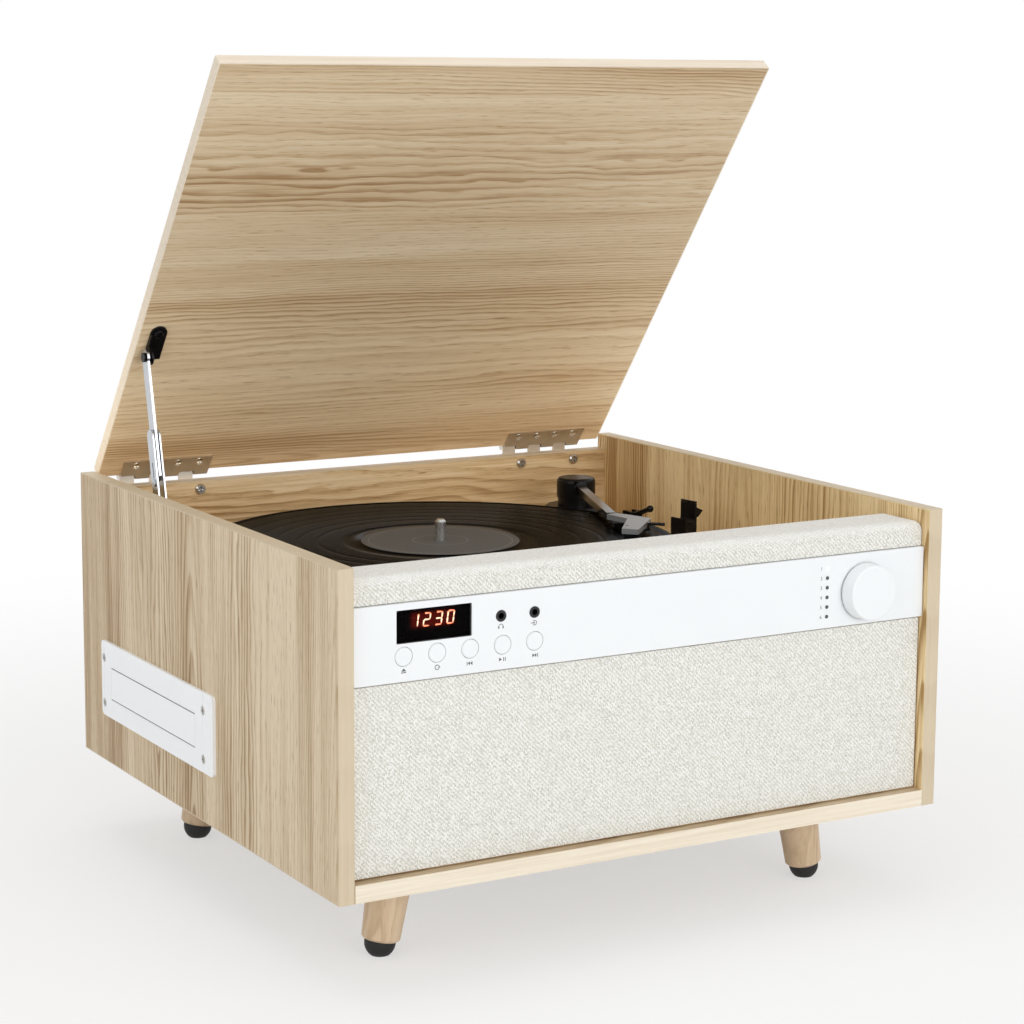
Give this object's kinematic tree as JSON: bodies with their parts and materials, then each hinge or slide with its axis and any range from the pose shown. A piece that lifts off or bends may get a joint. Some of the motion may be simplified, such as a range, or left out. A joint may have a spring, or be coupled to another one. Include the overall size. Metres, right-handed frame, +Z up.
{
  "type": "stereo music centre",
  "caption": "Oak stereo music centre on turned legs, with a record player under an open hinged lid, a disc tray, a cassette slot and a linen front.",
  "frame": {"origin": "on the floor under the middle of the overall box", "axes": "+Z up, -Y towards the front controls, +X towards the cassette side"},
  "size_m": [0.416, 0.3942, 0.511],
  "materials": {
    "oak": "oiled oak grain",
    "oak_inner": "oiled oak grain",
    "beech": "satin varnish",
    "cloth": "coarse linen weave",
    "white_panel": "smooth satin",
    "display_glass": "dark tinted gloss",
    "black_plastic": "fine satin",
    "grey_plastic": "satin",
    "steel": "bright zinc",
    "nickel": "dull nickel",
    "chrome": "polished",
    "arm_metal": "polished folded sheet",
    "vinyl": "grooved",
    "label": "uncoated",
    "rubber": "smooth",
    "circuit_board": "solder mask",
    "speaker_paper": "pressed pulp",
    "lights": "smoked light pipe",
    "cast_platter": "turned"
  },
  "bodies": {
    "cabinet": {"left_side_panel": "oak", "right_side_panel": "oak", "base_board": "oak", "back_panel": "oak_inner", "front_baffle": "oak_inner", "rear_fascia": "oak_inner", "speaker_grille": "cloth", "top_rail": "cloth", "control_strip": "white_panel", "display_window": "display_glass", "display_module": "black_plastic", "source_lights": "lights", "jack_sockets": "chrome", "circuit_boards": "circuit_board", "speaker_drivers": "speaker_paper", "deck_board": "oak_inner", "inner_cleats": "oak_inner", "platter_bearing": "steel", "drive_motor": "grey_plastic", "drive_belt": "rubber", "tonearm_base": "black_plastic", "arm_rest": "black_plastic", "hinge_body_leaves": "nickel", "screws_and_bolts": "steel", "stay_wall_bracket": "steel", "cd_bezel": "white_panel", "cd_mechanism": "grey_plastic", "cassette_bezel": "white_panel", "cassette_mechanism": "grey_plastic", "rear_plate": "black_plastic", "rear_sockets": "steel", "legs": "beech", "rubber_feet": "rubber"},
    "lid": {"lid_board": "oak", "hinge_lid_leaves": "nickel", "hinge_screws": "nickel", "stay_lid_bracket": "black_plastic"},
    "stay_strap": {"stay_strap": "chrome"},
    "stay_channel": {"stay_channel": "chrome"},
    "platter": {"platter": "cast_platter", "record_disc": "vinyl", "record_label": "label"},
    "motor_rotor": {"motor_pulley": "steel"},
    "turret": {"tonearm_turret": "black_plastic"},
    "tonearm": {"tonearm_tube": "arm_metal", "headshell": "grey_plastic", "cartridge": "black_plastic"},
    "cue_lever": {"cue_lever": "black_plastic"},
    "arm_clip": {"arm_clip": "black_plastic"},
    "open_close_button": {"open_close_button": "white_panel"},
    "repeat_button": {"repeat_button": "white_panel"},
    "previous_button": {"previous_button": "white_panel"},
    "play_pause_button": {"play_pause_button": "white_panel"},
    "next_button": {"next_button": "white_panel"},
    "encoder_plunger": {"encoder_plunger": "grey_plastic"},
    "volume_knob": {"volume_knob": "white_panel"},
    "cd_tray": {"cd_tray": "white_panel"},
    "cassette_flap": {"cassette_flap": "white_panel"},
    "eject_button": {"eject_button": "white_panel"},
    "speed_lever": {"speed_lever": "black_plastic"}
  },
  "joints": [
    {"name": "lid_hinge", "type": "hinge", "parent": "cabinet", "child": "lid", "pos_m": [0, 0.1945, 0.2352], "axis": [1, 0, 0], "range_deg": [0, 52.5]},
    {"name": "stay_strap_turn", "type": "hinge", "parent": "lid", "child": "stay_strap", "pos_m": [-0.1896, 0.11411, 0.32288], "axis": [1, 0, 0], "range_deg": [0, 30.3]},
    {"name": "stay_channel_turn", "type": "hinge", "parent": "cabinet", "child": "stay_channel", "pos_m": [-0.1896, 0.085, 0.198], "axis": [1, 0, 0], "range_deg": [-74.7, 0]},
    {"name": "platter_spin", "type": "hinge", "parent": "cabinet", "child": "platter", "pos_m": [-0.037, 0.005, 0.204], "axis": [0, 0, 1], "continuous": true},
    {"name": "motor_spin", "type": "hinge", "parent": "cabinet", "child": "motor_rotor", "pos_m": [-0.10628, 0.045, 0.194], "axis": [0, 0, 1], "continuous": true},
    {"name": "arm_swing", "type": "hinge", "parent": "cabinet", "child": "turret", "pos_m": [0.139, 0.128, 0.2145], "axis": [0, 0, 1], "range_deg": [-17, 29.8]},
    {"name": "arm_lift", "type": "hinge", "parent": "turret", "child": "tonearm", "pos_m": [0.139, 0.128, 0.2145], "axis": [-0.9311, 0.3649, 0], "range_deg": [0, 3.5]},
    {"name": "cue_lever_turn", "type": "hinge", "parent": "cabinet", "child": "cue_lever", "pos_m": [0.1655, 0.095, 0.1955], "axis": [1, 0, 0], "range_deg": [-15, 25]},
    {"name": "arm_clip_turn", "type": "hinge", "parent": "cabinet", "child": "arm_clip", "pos_m": [0.15981, 0.01685, 0.217], "axis": [0, 0, 1], "range_deg": [0, 90]},
    {"name": "open_close_button_press", "type": "slide", "parent": "cabinet", "child": "open_close_button", "axis": [0, 1, 0], "range_m": [0, 0.001], "stiffness_N_per_m": 400, "springref_m": -0.002},
    {"name": "repeat_button_press", "type": "slide", "parent": "cabinet", "child": "repeat_button", "axis": [0, 1, 0], "range_m": [0, 0.001], "stiffness_N_per_m": 400, "springref_m": -0.002},
    {"name": "previous_button_press", "type": "slide", "parent": "cabinet", "child": "previous_button", "axis": [0, 1, 0], "range_m": [0, 0.001], "stiffness_N_per_m": 400, "springref_m": -0.002},
    {"name": "play_pause_button_press", "type": "slide", "parent": "cabinet", "child": "play_pause_button", "axis": [0, 1, 0], "range_m": [0, 0.001], "stiffness_N_per_m": 400, "springref_m": -0.002},
    {"name": "next_button_press", "type": "slide", "parent": "cabinet", "child": "next_button", "axis": [0, 1, 0], "range_m": [0, 0.001], "stiffness_N_per_m": 400, "springref_m": -0.002},
    {"name": "knob_press", "type": "slide", "parent": "cabinet", "child": "encoder_plunger", "axis": [0, 1, 0], "range_m": [0, 0.0004], "stiffness_N_per_m": 900, "springref_m": -0.002},
    {"name": "knob_turn", "type": "hinge", "parent": "encoder_plunger", "child": "volume_knob", "pos_m": [0.1502, -0.19, 0.1937], "axis": [0, 1, 0], "continuous": true},
    {"name": "cd_tray_slide", "type": "slide", "parent": "cabinet", "child": "cd_tray", "axis": [-1, 0, 0], "range_m": [0, 0.125]},
    {"name": "cassette_flap_turn", "type": "hinge", "parent": "cabinet", "child": "cassette_flap", "pos_m": [0.2046, 0.0528, 0.1179], "axis": [0, 1, 0], "range_deg": [0, 80], "stiffness_Nm_per_rad": 0.004, "springref_deg": -17.19},
    {"name": "eject_press", "type": "slide", "parent": "cabinet", "child": "eject_button", "axis": [-1, 0, 0], "range_m": [0, 0.003], "stiffness_N_per_m": 400, "springref_m": -0.002},
    {"name": "speed_lever_turn", "type": "hinge", "parent": "cabinet", "child": "speed_lever", "pos_m": [0.168, -0.096, 0.186], "axis": [0, 0, 1], "range_deg": [-25, 25]}
  ],
  "couplings": [
    {"joint": "stay_strap_turn", "follows": "lid_hinge", "ratio": 0.57688},
    {"joint": "stay_channel_turn", "follows": "lid_hinge", "ratio": -1.4226},
    {"joint": "motor_spin", "follows": "platter_spin", "ratio": 12}
  ]
}
